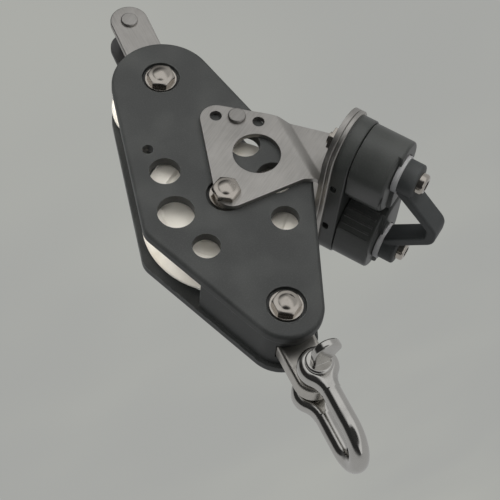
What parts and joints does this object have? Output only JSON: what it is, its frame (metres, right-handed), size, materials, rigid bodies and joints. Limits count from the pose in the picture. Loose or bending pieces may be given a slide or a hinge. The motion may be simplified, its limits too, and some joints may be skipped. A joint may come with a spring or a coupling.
{
  "type": "fiddle block",
  "caption": "Fiddle block with a large and a small sheave in line between black cheeks, a becket, a D shackle, and an angled cam cleat with fairlead on a steel arm.",
  "frame": {"origin": "inner bearing point of the shackle's bow, from which the block hangs", "axes": "+Z from the block towards the shackle (up when hung), -Y the front with the dome nuts, -X the side of the cam cleat"},
  "size_m": [0.0926, 0.0624, 0.1821],
  "materials": {
    "black_plastic": "satin moulded",
    "cam_plastic": "satin moulded",
    "fairlead_plastic": "satin moulded",
    "sheave_plastic": "satin cream",
    "washer_plastic": "satin grey",
    "brushed_steel": "brushed stainless",
    "polished_steel": "polished stainless",
    "fastener_steel": "bright stainless",
    "spring_steel": "drawn wire"
  },
  "bodies": {
    "block": {"front_cheek": "black_plastic", "back_cheek": "black_plastic", "head_spacer": "black_plastic", "head_link": "polished_steel", "becket_plate_front": "brushed_steel", "becket_plate_back": "brushed_steel", "becket_pin": "brushed_steel", "main_sleeve": "fastener_steel", "main_washer_front": "fastener_steel", "main_washer_back": "fastener_steel", "main_bolt": "fastener_steel", "main_cap_nut": "fastener_steel", "small_sleeve": "fastener_steel", "small_washer_front": "fastener_steel", "small_washer_back": "fastener_steel", "small_bolt": "fastener_steel", "small_cap_nut": "fastener_steel", "head_sleeve": "fastener_steel", "head_washer_front": "fastener_steel", "head_washer_back": "fastener_steel", "head_bolt": "fastener_steel", "head_cap_nut": "fastener_steel", "cleat_bracket": "brushed_steel", "adjuster_screw_front": "fastener_steel", "adjuster_screw_back": "fastener_steel", "cleat_plate": "brushed_steel", "cleat_base": "black_plastic", "fairlead": "fairlead_plastic", "cam_bush_front": "fastener_steel", "cam_bush_back": "fastener_steel", "cam_washer_front": "washer_plastic", "cam_washer_back": "washer_plastic", "cam_spring_front": "spring_steel", "cam_spring_back": "spring_steel", "cleat_screw_front": "fastener_steel", "cleat_screw_back": "fastener_steel", "cleat_nut_front": "fastener_steel", "cleat_nut_back": "fastener_steel"},
    "shackle": {"shackle_bow": "polished_steel", "shackle_pin": "polished_steel"},
    "main_sheave": {"main_sheave": "sheave_plastic"},
    "small_sheave": {"small_sheave": "sheave_plastic"},
    "cam_front": {"cam_front": "cam_plastic"},
    "cam_back": {"cam_back": "cam_plastic"}
  },
  "joints": [
    {"name": "shackle_pivot", "type": "hinge", "parent": "block", "child": "shackle", "pos_m": [0, 0, -0.0253], "axis": [0, 1, 0], "range_deg": [-120, 120]},
    {"name": "main_sheave_spin", "type": "hinge", "parent": "block", "child": "main_sheave", "pos_m": [0, 0, -0.0897], "axis": [0, 1, 0], "continuous": true},
    {"name": "small_sheave_spin", "type": "hinge", "parent": "block", "child": "small_sheave", "pos_m": [0, 0, -0.1403], "axis": [0, 1, 0], "continuous": true},
    {"name": "cam_front_swing", "type": "hinge", "parent": "block", "child": "cam_front", "pos_m": [-0.04609, -0.019, -0.07884], "axis": [-0.565, 0, 0.8251], "range_deg": [0, 48], "stiffness_Nm_per_rad": 0.03, "springref_deg": -17.19},
    {"name": "cam_back_swing", "type": "hinge", "parent": "block", "child": "cam_back", "pos_m": [-0.04609, 0.019, -0.07884], "axis": [0.565, 0, -0.8251], "range_deg": [0, 48], "stiffness_Nm_per_rad": 0.03, "springref_deg": -17.19}
  ]
}
